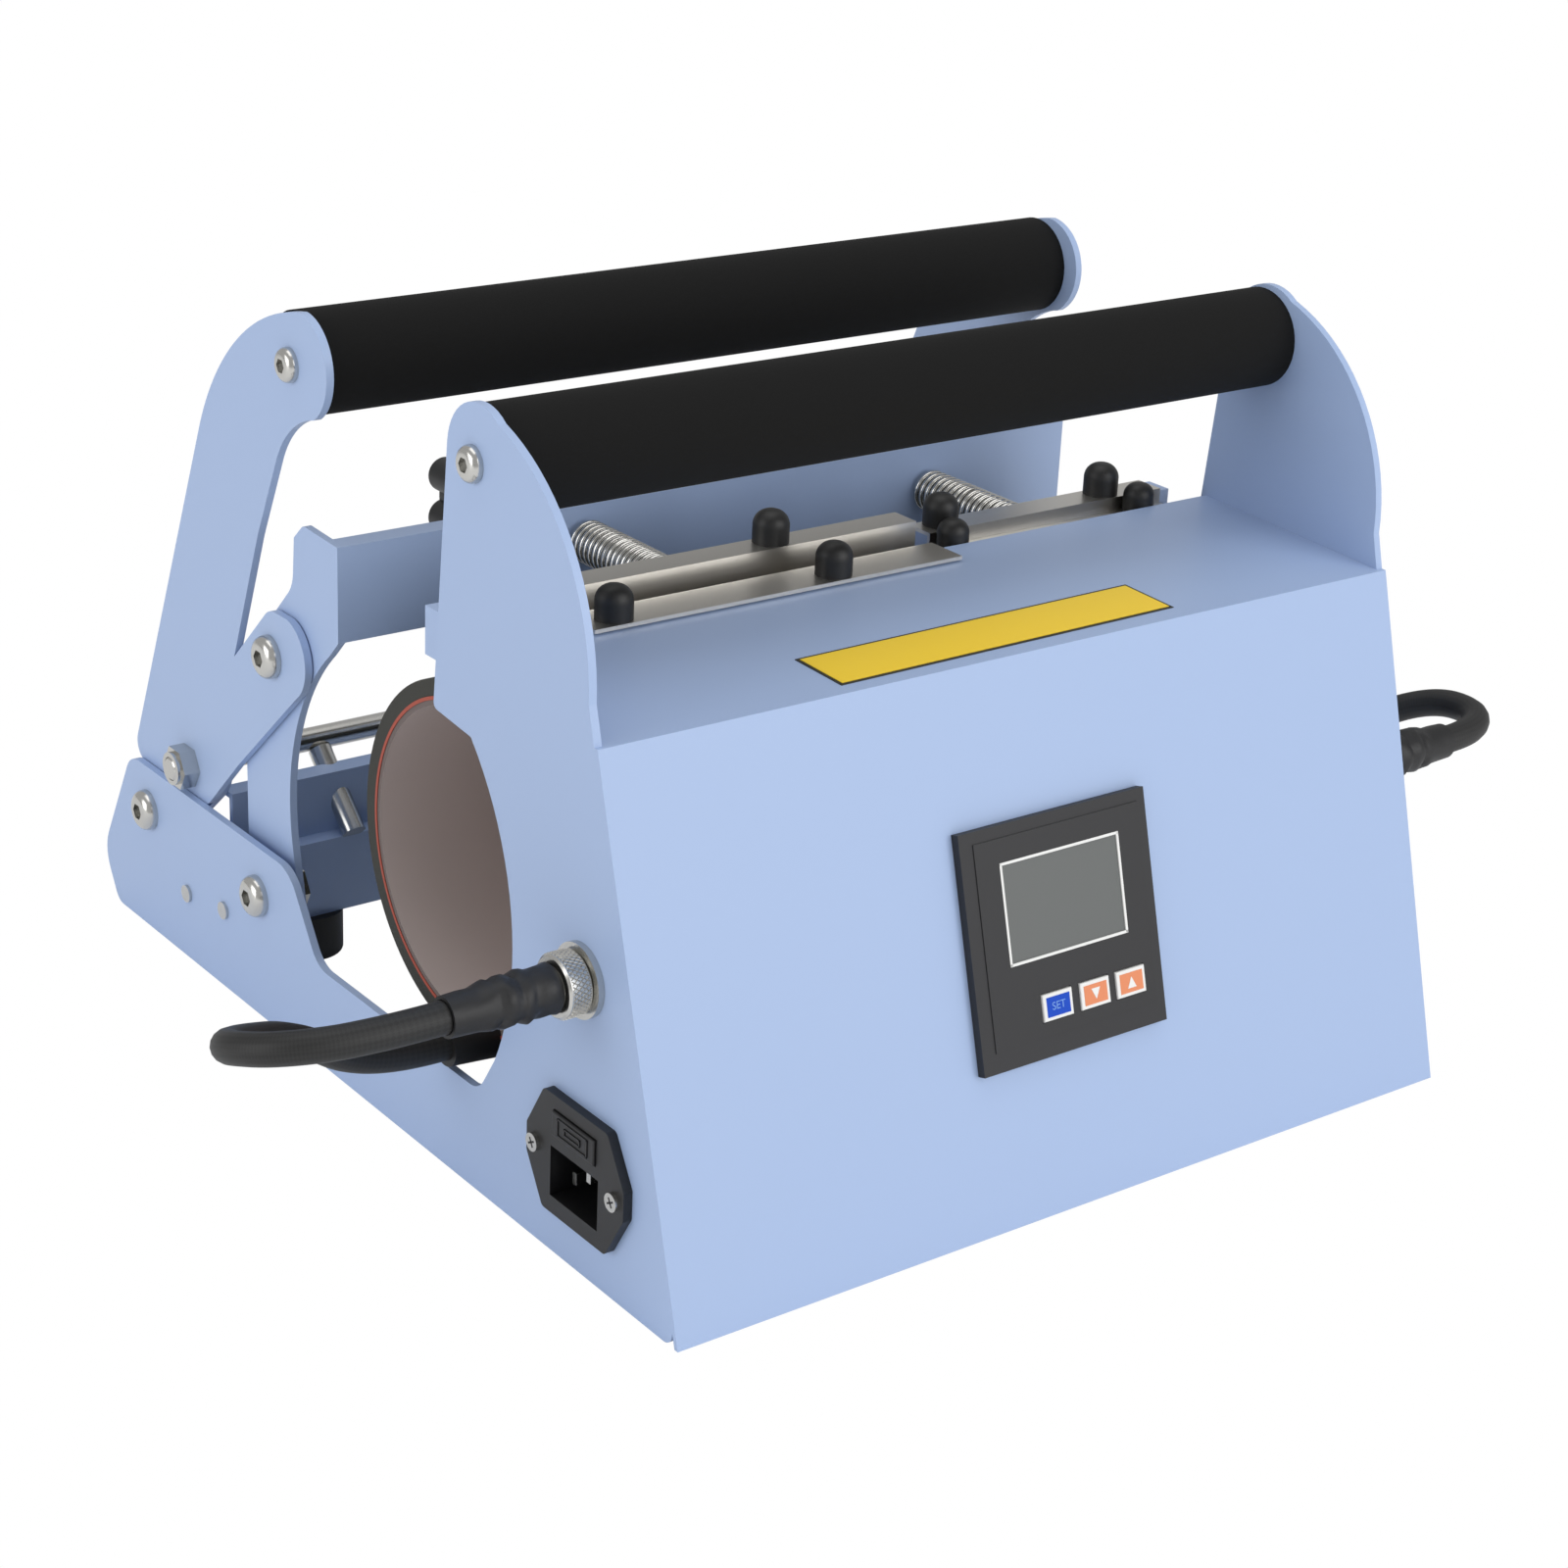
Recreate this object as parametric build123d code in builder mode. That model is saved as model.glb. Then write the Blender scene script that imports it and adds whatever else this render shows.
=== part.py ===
from build123d import *
import math
import os

os.makedirs("parts", exist_ok=True)

# Driving dimensions, in millimetres. X runs along the grips, -Y is the front, Z is up from the bench.

# Housing and its bent cover
half_width = 150.0
plate_thickness = 2.5
cover_thickness = 1.5
front_bottom_y = -175.4
shelf_front_y = -129.6
shelf_front_z = 161.0
shelf_rear_y = -49.6
shelf_rise = 3.0
fin_top_z = 239.3
arm_top_z = 60.0
arm_rear_y = 176.4
mouth_floor_z = 33.5
base_pan_z = 6.0

# Hinge points of the toggle linkage, as (y, z)
link_pivot = (141.0, 44.5)
jaw_pivot = (63.0, 43.0)
tie_point = (115.0, 69.5)
lever_pivot = (57.0, 126.5)
rear_grip_point = (41.5, 223.5)
front_grip_point = (-66.5, 222.5)

# Plates beside each other in the linkage, and their running fits
plate_gap = 0.5
running_clearance = 0.05
slot_clearance = 0.45
slot_travel = 2.6
link_end_radius = 13.0
link_tip_radius = 15.0
link_tip_reach = 7.0

# Fasteners
large_shank_radius = 4.0
large_head_radius = 7.0
large_head_height = 4.4
large_socket_flats = 5.0
small_shank_radius = 3.0
small_head_radius = 5.4
small_head_height = 3.3
small_socket_flats = 4.0
nut_flats = 13.0
nut_height = 6.5
lock_nut_height = 7.5
lock_collar_radius = 5.6
spacer_radius = 7.5
rivet_radius = 2.0
rivet_head_radius = 3.0
rivet_head_height = 1.0
rivet_points = [(113.2, 24.0), (86.8, 28.3)]

# Grips
grip_tube_radius = 12.5
grip_tube_wall = 1.5
grip_foam_radius = 16.0
grip_end_depth = 14.0

# Heater band, split in a long and a short segment
heater_centre = (-42.0, 90.0)
heater_radius = 57.0
sheath_thickness = 6.0
liner_thickness = 2.0
heater_half_length = 137.0
segment_split_x = 34.0
segment_gap = 6.0
band_front_y = -48.0
band_rear_y = -37.5
band_split_gap = 1.4

# Clamping lips, screws and springs
strip_thickness = 1.2
front_strip_front_y = -62.0
front_strip_inset = 31.0
short_lip_drop = 5.0
lip_bar_depth = 9.5
lip_bar_height = 15.0
rear_lip_z = 170.0
rear_bar_half_length = 142.0
cap_radius = 5.8
small_cap_radius = 5.2
short_lip_depth = 9.2
cap_height = 10.5
front_cap_x = [-95.5, -15.1, 42.0, 122.0]
short_cap_inset = 3.9
rear_cap_x = [-100.0, -22.0, 46.0, 115.0]
screw_x = [-55.6, 83.6]
screw_z = [161.0, 157.0]
screw_radius = 4.0
screw_clearance = 0.5
spring_radius = 6.2
spring_wire = 1.9
spring_turns = [18, 17]
knob_radius = 22.0
knob_thickness = 16.0
knob_y = 66.0
knob_lobes = 7

# Jaw panel, a channel between the jaw plates
panel_front_y = 19.5
panel_bottom_z = 142.0
panel_top_z = 172.4
panel_depth = 8.0
panel_thickness = 2.0

# Rear cross member and its stop studs
member_half_length = 141.0
member_thickness = 2.0
member_top_z = 64.0
member_step_z = 43.0
member_bottom_z = 16.0
member_rear_y = 105.0
member_upper_y = 97.0
member_lower_y = 90.5
member_tab_top_z = 35.0
member_tab_rear_y = 120.0
member_tab_front_y = 84.5
stud_x = 100.0
stud_length = 32.0
seat_clearance = 0.3
foot_radius = 7.0
rear_foot_radius = 11.0
front_foot_y = -150.0
rear_foot_y = 98.0
foot_x = 112.0

# Controller set in the sloping panel, distances down the slope
controller_width = 72.0
controller_from_top = 47.0
bezel_height = 3.0
controller_body_width = 66.0
controller_body_depth = 34.0
window_width = 45.3
window_height = 30.4
window_from_top = 11.5
window_centre_x = 0.9
window_depth = 0.8
button_width = 11.4
button_height = 8.2
button_from_top = 57.0
button_x = [-6.4, 8.3, 22.6]
button_names = ["set_button", "down_button", "up_button"]
button_travel = 0.6
button_proud = 1.0
button_clearance = 0.2

# Mains inlet with its fuse drawer, on the left plate
inlet_centre = (-127.3, 34.3)
inlet_screw_spacing = 40.0
inlet_screw_margin = 4.5
inlet_flange_height = 38.0
inlet_ear_half_height = 4.5
inlet_ear_slant = 8.5
inlet_flange_thickness = 3.0
inlet_body_width = 27.5
inlet_body_height = 31.0
inlet_body_depth = 24.0
socket_width = 24.0
socket_height = 16.0
socket_depth = 16.0
socket_drop = 5.5
pin_radius = 1.0
pin_pitch = 7.0
pin_length = 11.0
drawer_width = 21.0
drawer_height = 8.0
drawer_depth = 18.0
drawer_rise = 10.5
drawer_clearance = 0.25
inlet_screw_radius = 1.5
inlet_screw_head_radius = 2.8

# Heater connectors, one on each side plate
connector_point = (-125.0, 92.0)
connector_flange_radius = 11.0
connector_flange_thickness = 2.0
connector_body_radius = 7.5
connector_body_depth = 14.0
connector_spigot_length = 10.0
ring_radius = 9.2
ring_length = 8.0
ring_clearance = 0.3
boot_start = 10.0
boot_length = 34.0
boot_radius = 8.0
boot_waist_radius = 6.4
cord_diameter = 9.5
heater_boot_point = (-56.0, 42.0)
heater_boot_length = 15.0
heater_boot_radius = 7.8

# Relay inside the control box
relay_length = 57.0
relay_width = 44.0
relay_height = 26.0
relay_x = 30.0
relay_y = -140.0

# Values that follow from the dimensions above
sides = [("left", -1), ("right", 1)]
plate_inner = half_width - plate_thickness
inlet_flange_width = inlet_screw_spacing + 2 * inlet_screw_margin
inner_wall_y = inlet_centre[0] + inlet_screw_spacing / 2 + inlet_screw_margin
lever_outer = plate_inner - plate_gap
lever_inner = lever_outer - plate_thickness
jaw_outer = lever_inner - plate_gap
jaw_inner = jaw_outer - plate_thickness
slope_angle = math.degrees(math.atan2(shelf_front_y - front_bottom_y, shelf_front_z))
slope_run = cover_thickness / math.cos(math.radians(slope_angle))
shelf_rear_z = shelf_front_z + shelf_rise
plate_front_y = front_bottom_y + slope_run
left_segment = (-heater_half_length, segment_split_x - segment_gap / 2)
right_segment = (segment_split_x + segment_gap / 2, heater_half_length)
segments = [("left", left_segment, 0.0), ("right", right_segment, short_lip_drop)]


def write(part, name):
    """Label a finished piece and save it under its own name."""
    part.label = name
    export_step(part, f"parts/{name}.step")


def plate_along_x(face, x_outer, sign, thickness):
    """A flat plate cut to the sketched outline, its outer face at sign times x_outer."""
    with BuildPart() as plate:
        with BuildSketch(Plane.YZ.offset(sign * x_outer)):
            add(face)
        extrude(amount=-sign * thickness)
    return plate.part


def rod_along_x(point, radius, x_start, x_end):
    """A round bar along X through (y, z) between two stations."""
    with BuildPart() as rod:
        with BuildSketch(Plane.YZ.offset(x_start)):
            with Locations(point):
                Circle(radius)
        extrude(amount=x_end - x_start)
    return rod.part


def button_head_bolt(point, sign, x_seat, length, shank_radius, head_radius, head_height, socket_flats):
    """Domed hex-socket bolt whose head sits outside x_seat, its shank pointing inwards."""
    with BuildPart() as bolt:
        with BuildSketch(Plane.YZ.offset(sign * x_seat)):
            with Locations(point):
                Circle(head_radius)
        extrude(amount=sign * head_height)
        crown = bolt.faces().sort_by(Axis.X)[-1 if sign > 0 else 0]
        fillet(crown.edges(), radius=head_height * 0.75)
        with BuildSketch(Plane.YZ.offset(sign * (x_seat + head_height))):
            with Locations(point):
                RegularPolygon(radius=socket_flats / 2, side_count=6, major_radius=False)
        extrude(amount=-sign * head_height * 0.6, mode=Mode.SUBTRACT)
        with BuildSketch(Plane.YZ.offset(sign * x_seat)):
            with Locations(point):
                Circle(shank_radius)
        extrude(amount=-sign * length)
    return bolt.part


def hex_nut(point, sign, x_seat, height, bore_radius):
    """Plain hex nut that starts at x_seat and grows along sign."""
    with BuildPart() as nut:
        with BuildSketch(Plane.YZ.offset(x_seat)):
            with Locations(point):
                RegularPolygon(radius=nut_flats / 2, side_count=6, major_radius=False)
                Circle(bore_radius, mode=Mode.SUBTRACT)
        extrude(amount=sign * height)
    return nut.part


def side_outline():
    """Outline of a side plate: front fin, mouth for the heater and rear arm."""
    fin_foot = (shelf_front_y + slope_run, shelf_front_z)
    fin_shoulder = (shelf_front_y + slope_run + 3.0, shelf_front_z + 11.0)
    with BuildSketch() as face:
        with BuildLine():
            Line((arm_rear_y - 9.0, 0.0), (plate_front_y, 0.0))
            Line((plate_front_y, 0.0), fin_foot)
            Line(fin_foot, fin_shoulder)
            ThreePointArc(fin_shoulder, (-109.5, 216.0), (-79.0, 236.6))
            ThreePointArc((-79.0, 236.6), (-63.5, fin_top_z - 0.3), (-53.0, 225.5))
            Polyline((-53.0, 225.5), (-46.0, 145.0), (-66.3, 142.8))
            ThreePointArc((-66.3, 142.8), (-89.3, 88.9), (-80.5, 47.0))
            Polyline((-80.5, 47.0), (-72.0, mouth_floor_z), (24.0, mouth_floor_z), (42.0, arm_top_z),
                     (154.0, arm_top_z), (arm_rear_y + 1.0, 17.0), (arm_rear_y - 9.0, 0.0))
        make_face()
        for corner, radius in [((plate_front_y, 0.0), 4.0), ((-72.0, mouth_floor_z), 9.0),
                               ((24.0, mouth_floor_z), 11.0), ((42.0, arm_top_z), 14.0),
                               ((154.0, arm_top_z), 10.0), ((arm_rear_y + 1.0, 17.0), 14.0),
                               ((arm_rear_y - 9.0, 0.0), 6.0), ((-46.0, 145.0), 2.0)]:
            fillet(face.vertices().sort_by_distance(corner)[0], radius=radius)
        with Locations(link_pivot, jaw_pivot):
            Circle(large_shank_radius + running_clearance, mode=Mode.SUBTRACT)
        with Locations(front_grip_point):
            Circle(small_shank_radius + running_clearance, mode=Mode.SUBTRACT)
        with Locations(connector_point):
            Circle(connector_body_radius + running_clearance, mode=Mode.SUBTRACT)
        with Locations(*rivet_points):
            Circle(rivet_radius + running_clearance, mode=Mode.SUBTRACT)
    return face


# Side plates, laser cut. The left one also takes the mains inlet.
for side, sign in sides:
    with BuildPart() as side_plate:
        add(plate_along_x(side_outline().sketch, half_width, sign, plate_thickness))
        if side == "left":
            with BuildSketch(Plane.YZ.offset(-half_width)):
                with Locations(inlet_centre):
                    Rectangle(inlet_body_width + 2 * drawer_clearance, inlet_body_height + 2 * drawer_clearance)
                with Locations((inlet_centre[0] - inlet_screw_spacing / 2, inlet_centre[1]),
                               (inlet_centre[0] + inlet_screw_spacing / 2, inlet_centre[1])):
                    Circle(inlet_screw_radius + running_clearance)
            extrude(amount=plate_thickness, mode=Mode.SUBTRACT)
    write(side_plate.part, f"side_plate_{side}")

# Front cover: the sloping panel laps the side plates, the shelf runs back between them.
slope_plane = Plane(origin=(0.0, shelf_front_y, shelf_front_z), x_dir=(1, 0, 0),
                    z_dir=(0, -math.cos(math.radians(slope_angle)), math.sin(math.radians(slope_angle))))
controller_centre = -(controller_from_top + controller_width / 2)
with BuildPart() as front_cover:
    with BuildSketch(Plane.YZ):
        Polygon((front_bottom_y, 0.0), (shelf_front_y, shelf_front_z), (shelf_front_y + slope_run, shelf_front_z),
                (plate_front_y, 0.0), align=None)
    extrude(amount=half_width, both=True)
    with BuildSketch(Plane.YZ):
        Polygon((shelf_front_y, shelf_front_z), (shelf_rear_y, shelf_rear_z),
                (shelf_rear_y, shelf_rear_z - cover_thickness),
                (shelf_front_y + slope_run, shelf_front_z - cover_thickness), align=None)
    extrude(amount=plate_inner, both=True)
    with BuildSketch(slope_plane):
        with Locations((0.0, controller_centre)):
            Rectangle(controller_body_width + 1.0, controller_body_width + 1.0)
    extrude(amount=-3 * cover_thickness, mode=Mode.SUBTRACT)
write(front_cover.part, "front_cover")

# Base pan: floor of the control box and the wall between the electrics and the heater.
with BuildPart() as base_pan:
    pan_front_y = plate_front_y + math.tan(math.radians(slope_angle)) * base_pan_z + seat_clearance
    with BuildSketch(Plane.XY.offset(base_pan_z)):
        with Locations((0.0, (pan_front_y + inner_wall_y) / 2)):
            Rectangle(2 * plate_inner, inner_wall_y - pan_front_y)
    extrude(amount=cover_thickness)
    wall_slope = shelf_rise / (shelf_rear_y - shelf_front_y)
    wall_top_z = (shelf_front_z - cover_thickness - seat_clearance
                  + wall_slope * (inner_wall_y - cover_thickness - shelf_front_y))
    with BuildSketch(Plane.XZ.offset(-inner_wall_y)):
        with Locations((0.0, (base_pan_z + wall_top_z) / 2)):
            Rectangle(2 * plate_inner, wall_top_z - base_pan_z)
    extrude(amount=cover_thickness)
write(base_pan.part, "base_pan")

# Rear cross member: a stepped channel between the arms, with an end tab riveted to each side plate.
stud_direction = Vector(0.0, member_lower_y - tie_point[0], 46.0 - tie_point[1]).normalized()
stud_start = Vector(0.0, tie_point[0], tie_point[1]) + stud_direction * (large_shank_radius + seat_clearance)
with BuildPart() as rear_cross_member:
    with BuildSketch(Plane.YZ):
        with BuildLine():
            Polyline((member_rear_y, member_top_z), (member_upper_y, member_top_z),
                     (member_upper_y, member_step_z),
                     (member_lower_y, member_step_z), (member_lower_y, member_bottom_z),
                     (member_rear_y, member_bottom_z),
                     (member_rear_y, member_bottom_z + member_thickness),
                     (member_lower_y + member_thickness, member_bottom_z + member_thickness),
                     (member_lower_y + member_thickness, member_step_z - member_thickness),
                     (member_upper_y + member_thickness, member_step_z - member_thickness),
                     (member_upper_y + member_thickness, member_top_z - member_thickness),
                     (member_rear_y, member_top_z - member_thickness), close=True)
        make_face()
    extrude(amount=member_half_length, both=True)
    with BuildSketch(Plane.XZ.offset(-member_lower_y)):
        with Locations((0.0, (member_bottom_z + member_tab_top_z) / 2)):
            Rectangle(2 * plate_inner, member_tab_top_z - member_bottom_z)
    extrude(amount=-member_thickness)
    for tab_x in (-plate_inner, plate_inner - member_thickness):
        with BuildSketch(Plane.YZ.offset(tab_x)):
            with Locations(((member_tab_front_y + member_tab_rear_y) / 2,
                            (member_bottom_z + member_tab_top_z) / 2)):
                Rectangle(member_tab_rear_y - member_tab_front_y, member_tab_top_z - member_bottom_z)
            with Locations(*rivet_points):
                Circle(rivet_radius + running_clearance, mode=Mode.SUBTRACT)
        extrude(amount=member_thickness)
    for x in (-stud_x, stud_x):
        bore_plane = Plane(origin=stud_start + Vector(x, 0, 0), z_dir=stud_direction)
        with BuildSketch(bore_plane):
            Circle(large_shank_radius + running_clearance)
        extrude(amount=stud_length, mode=Mode.SUBTRACT)
write(rear_cross_member.part, "rear_cross_member")

# Stop studs: their rear ends meet the tie rod in the locked position.
with BuildPart() as stop_studs:
    for x in (-stud_x, stud_x):
        with BuildSketch(Plane(origin=stud_start + Vector(x, 0, 0), z_dir=stud_direction)):
            Circle(large_shank_radius)
        extrude(amount=stud_length)
write(stop_studs.part, "stop_studs")

# Rivets through the arms and the tabs of the cross member.
with BuildPart() as cross_member_rivets:
    for side, sign in sides:
        for point in rivet_points:
            add(rod_along_x(point, rivet_head_radius, sign * half_width, sign * (half_width + rivet_head_height)))
            add(rod_along_x(point, rivet_radius, sign * half_width,
                            sign * (plate_inner - member_thickness - rivet_head_height)))
write(cross_member_rivets.part, "cross_member_rivets")

# Rubber feet under the base pan and the cross member, level with the edges of the side plates.
with BuildPart() as rubber_feet:
    with BuildSketch(Plane.XY):
        with Locations((-foot_x, front_foot_y), (foot_x, front_foot_y)):
            Circle(foot_radius)
    extrude(amount=base_pan_z)
    with BuildSketch(Plane.XY):
        with Locations((-foot_x, rear_foot_y), (foot_x, rear_foot_y)):
            Circle(rear_foot_radius)
    extrude(amount=member_bottom_z)
    fillet(rubber_feet.edges().filter_by(GeomType.CIRCLE).group_by(Axis.Z)[0], radius=2.0)
write(rubber_feet.part, "rubber_feet")


def lever_outline():
    """Outline of a lever plate: the long arm to the grip and the short arm to the jaw."""
    with BuildSketch() as face:
        with BuildLine():
            Polyline((157.3, 58.8), (103.5, 58.8), (80.0, 82.0), (40.5, 118.0))
            ThreePointArc((40.5, 118.0), (35.0, 131.0), (46.0, 142.0))
            Polyline((46.0, 142.0), (57.5, 142.0), (81.5, 118.5), (64.0, 164.0), (50.7, 192.3))
            ThreePointArc((50.7, 192.3), (41.0, 203.8), (27.5, 210.0))
            ThreePointArc((27.5, 210.0), (19.5, 225.0), (35.0, 240.7))
            ThreePointArc((35.0, 240.7), (76.0, 222.5), (102.0, 188.0))
            Line((102.0, 188.0), (157.3, 58.8))
        make_face()
        for corner, radius in [((157.3, 58.8), 6.0), ((103.5, 58.8), 8.0), ((57.5, 142.0), 9.0),
                               ((80.0, 82.0), 40.0), ((64.0, 164.0), 60.0)]:
            fillet(face.vertices().sort_by_distance(corner)[0], radius=radius)
        with Locations(lever_pivot, tie_point):
            Circle(large_shank_radius + running_clearance, mode=Mode.SUBTRACT)
        with Locations(rear_grip_point):
            Circle(small_shank_radius + running_clearance, mode=Mode.SUBTRACT)
    return face


def jaw_outline():
    """Outline of a jaw plate, hollowed in front to pass round the heater."""
    with BuildSketch() as face:
        with BuildLine():
            ThreePointArc((80.0, jaw_pivot[1]), (jaw_pivot[0], jaw_pivot[1] - 17.0), (46.0, jaw_pivot[1]))
            Line((46.0, jaw_pivot[1]), (50.3, 64.0))
            ThreePointArc((50.3, 64.0), (47.0, 104.0), (25.3, 136.0))
            Polyline((25.3, 136.0), (panel_front_y, panel_bottom_z), (panel_front_y, panel_top_z),
                     (40.5, 173.4), (46.3, 168.0), (47.5, 152.0), (72.0, 127.0), (80.0, 104.0),
                     (80.0, jaw_pivot[1]))
        make_face()
        for corner, radius in [((40.5, 173.4), 3.0), ((72.0, 127.0), 12.0), ((47.5, 152.0), 12.0)]:
            fillet(face.vertices().sort_by_distance(corner)[0], radius=radius)
        with Locations(jaw_pivot, lever_pivot):
            Circle(large_shank_radius + running_clearance, mode=Mode.SUBTRACT)
    return face


def link_outline():
    """Outline of a link: a bar from the frame pivot past the tie rod, slotted for the rod."""
    axis = Vector(tie_point[0] - link_pivot[0], tie_point[1] - link_pivot[1])
    axis = axis.normalized()
    tip = (tie_point[0] + axis.X * link_tip_reach, tie_point[1] + axis.Y * link_tip_reach)
    slot_centre = (tie_point[0] - axis.X * slot_travel / 2, tie_point[1] - axis.Y * slot_travel / 2)
    slot_angle = math.degrees(math.atan2(axis.Y, axis.X))
    with BuildSketch() as face:
        with Locations(link_pivot):
            Circle(link_end_radius)
        with Locations(tip):
            Circle(link_tip_radius)
        make_hull()
        with Locations(link_pivot):
            Circle(large_shank_radius + running_clearance, mode=Mode.SUBTRACT)
        with Locations(slot_centre):
            SlotCenterToCenter(slot_travel, 2 * (large_shank_radius + slot_clearance), rotation=slot_angle,
                               mode=Mode.SUBTRACT)
    return face


# Lever plates, jaw plates and links, a pair of each.
for side, sign in sides:
    write(plate_along_x(lever_outline().sketch, lever_outer, sign, plate_thickness), f"lever_{side}")
    write(plate_along_x(jaw_outline().sketch, jaw_outer, sign, plate_thickness), f"jaw_plate_{side}")
    write(plate_along_x(link_outline().sketch, jaw_outer, sign, plate_thickness), f"link_{side}")

# Pivot bolts of the frame, with spacers and nuts.
pivot_length = half_width - jaw_inner + nut_height
with BuildPart() as frame_pivot_bolts:
    for side, sign in sides:
        for point in (link_pivot, jaw_pivot):
            add(button_head_bolt(point, sign, half_width, pivot_length, large_shank_radius, large_head_radius,
                                 large_head_height, large_socket_flats))
write(frame_pivot_bolts.part, "frame_pivot_bolts")
with BuildPart() as pivot_spacers:
    for side, sign in sides:
        for point in (link_pivot, jaw_pivot):
            with BuildSketch(Plane.YZ.offset(sign * plate_inner)):
                with Locations(point):
                    Circle(spacer_radius)
                    Circle(large_shank_radius + running_clearance, mode=Mode.SUBTRACT)
            extrude(amount=-sign * (plate_inner - jaw_outer - running_clearance))
write(pivot_spacers.part, "pivot_spacers")
with BuildPart() as frame_pivot_nuts:
    for side, sign in sides:
        for point in (link_pivot, jaw_pivot):
            add(hex_nut(point, -sign, sign * (jaw_inner - running_clearance), nut_height,
                        large_shank_radius + running_clearance))
write(frame_pivot_nuts.part, "frame_pivot_nuts")

# Bolts and nuts that hinge the lever plates on the jaw plates.
with BuildPart() as lever_pivot_bolts:
    for side, sign in sides:
        add(button_head_bolt(lever_pivot, sign, lever_outer + running_clearance,
                             lever_outer - jaw_inner + nut_height, large_shank_radius,
                             large_head_radius, large_head_height, large_socket_flats))
write(lever_pivot_bolts.part, "lever_pivot_bolts")
with BuildPart() as lever_pivot_nuts:
    for side, sign in sides:
        add(hex_nut(lever_pivot, -sign, sign * jaw_inner, nut_height, large_shank_radius + running_clearance))
write(lever_pivot_nuts.part, "lever_pivot_nuts")

# Tie rod across the levers, with a collared lock nut outside each lever plate.
rod_half_length = lever_outer + lock_nut_height
with BuildPart() as tie_rod:
    add(rod_along_x(tie_point, large_shank_radius, -rod_half_length, rod_half_length))
    chamfer(tie_rod.edges().filter_by(GeomType.CIRCLE), length=0.6)
write(tie_rod.part, "tie_rod")
with BuildPart() as tie_rod_nuts:
    for side, sign in sides:
        add(hex_nut(tie_point, sign, sign * lever_outer, 0.75 * lock_nut_height,
                    large_shank_radius + running_clearance))
        with BuildSketch(Plane.YZ.offset(sign * (lever_outer + 0.75 * lock_nut_height))):
            with Locations(tie_point):
                Circle(lock_collar_radius)
                Circle(large_shank_radius + running_clearance, mode=Mode.SUBTRACT)
        extrude(amount=sign * 0.2 * lock_nut_height)
write(tie_rod_nuts.part, "tie_rod_nuts")

# Grips: a tube with closed, drilled ends under a foam sleeve, one on the fins and one on the levers.
for place, point, grip_end, seat in [("front", front_grip_point, plate_inner, half_width),
                                     ("rear", rear_grip_point, lever_inner, lever_outer)]:
    with BuildPart() as grip_tube:
        add(rod_along_x(point, grip_tube_radius, -grip_end, grip_end))
        hollow_end = grip_end - grip_end_depth
        add(rod_along_x(point, grip_tube_radius - grip_tube_wall, -hollow_end, hollow_end), mode=Mode.SUBTRACT)
        add(rod_along_x(point, small_shank_radius + running_clearance, -grip_end, grip_end), mode=Mode.SUBTRACT)
    write(grip_tube.part, f"{place}_grip_tube")
    with BuildPart() as grip_foam:
        add(rod_along_x(point, grip_foam_radius, -grip_end, grip_end))
        add(rod_along_x(point, grip_tube_radius, -grip_end, grip_end), mode=Mode.SUBTRACT)
    write(grip_foam.part, f"{place}_grip_foam")
    with BuildPart() as grip_bolts:
        for side, sign in sides:
            add(button_head_bolt(point, sign, seat, plate_thickness + grip_end_depth, small_shank_radius,
                                 small_head_radius, small_head_height, small_socket_flats))
    write(grip_bolts.part, f"{place}_grip_bolts")


def band_half(inner, outer, segment, front):
    """Half of the round heater band between two radii, cut at the top gap and at the bottom."""
    with BuildPart() as band:
        with BuildSketch(Plane.YZ.offset(segment[0])):
            with Locations(heater_centre):
                Circle(outer)
                Circle(inner, mode=Mode.SUBTRACT)
            reach = 2 * outer
            top_y = band_front_y if front else band_rear_y
            bottom_y = heater_centre[0] + (-band_split_gap / 2 if front else band_split_gap / 2)
            away = -reach if front else reach
            window = Rectangle(reach, reach, mode=Mode.PRIVATE)
            keep = Pos(top_y + away / 2, heater_centre[1] + reach / 2) * window
            keep += Pos(bottom_y + away / 2, heater_centre[1] - reach / 2) * window
            add(keep, mode=Mode.INTERSECT)
        extrude(amount=segment[1] - segment[0])
    return band.part


# Heater band: an outer sheath and an inner liner, each split into a front and a rear half.
liner_outer = heater_radius - sheath_thickness
liner_inner = liner_outer - liner_thickness
for half, is_front in [("front", True), ("rear", False)]:
    for name, segment, drop in segments:
        write(band_half(liner_outer, heater_radius, segment, is_front), f"heater_{name}_{half}")
    with BuildPart() as liners:
        for name, segment, drop in segments:
            add(band_half(liner_inner, liner_outer, segment, is_front))
    write(liners.part, f"heater_{half}_liners")

# Front lips: the long one is folded over the shelf's rear edge, the short one is tucked behind it.
strip_foot_z = heater_centre[1] + math.sqrt(liner_inner ** 2 - (heater_centre[0] - band_front_y) ** 2)
with BuildPart() as front_lips:
    for name, segment, drop in segments:
        flange_z = shelf_rear_z + seat_clearance / 3 if name == "left" else shelf_rear_z - drop
        front_y = front_strip_front_y if name == "left" else band_front_y
        rear_y = band_front_y + (strip_thickness if name == "left" else short_lip_depth)
        start = segment[0] + (front_strip_inset if name == "left" else 0.0)
        with BuildSketch(Plane.YZ.offset(start)):
            with Locations(((front_y + rear_y) / 2, flange_z + strip_thickness / 2)):
                Rectangle(rear_y - front_y, strip_thickness)
            with Locations((band_front_y + strip_thickness / 2, (strip_foot_z + flange_z) / 2)):
                Rectangle(strip_thickness, flange_z - strip_foot_z)
        extrude(amount=segment[1] - start)
write(front_lips.part, "front_lips")

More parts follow.
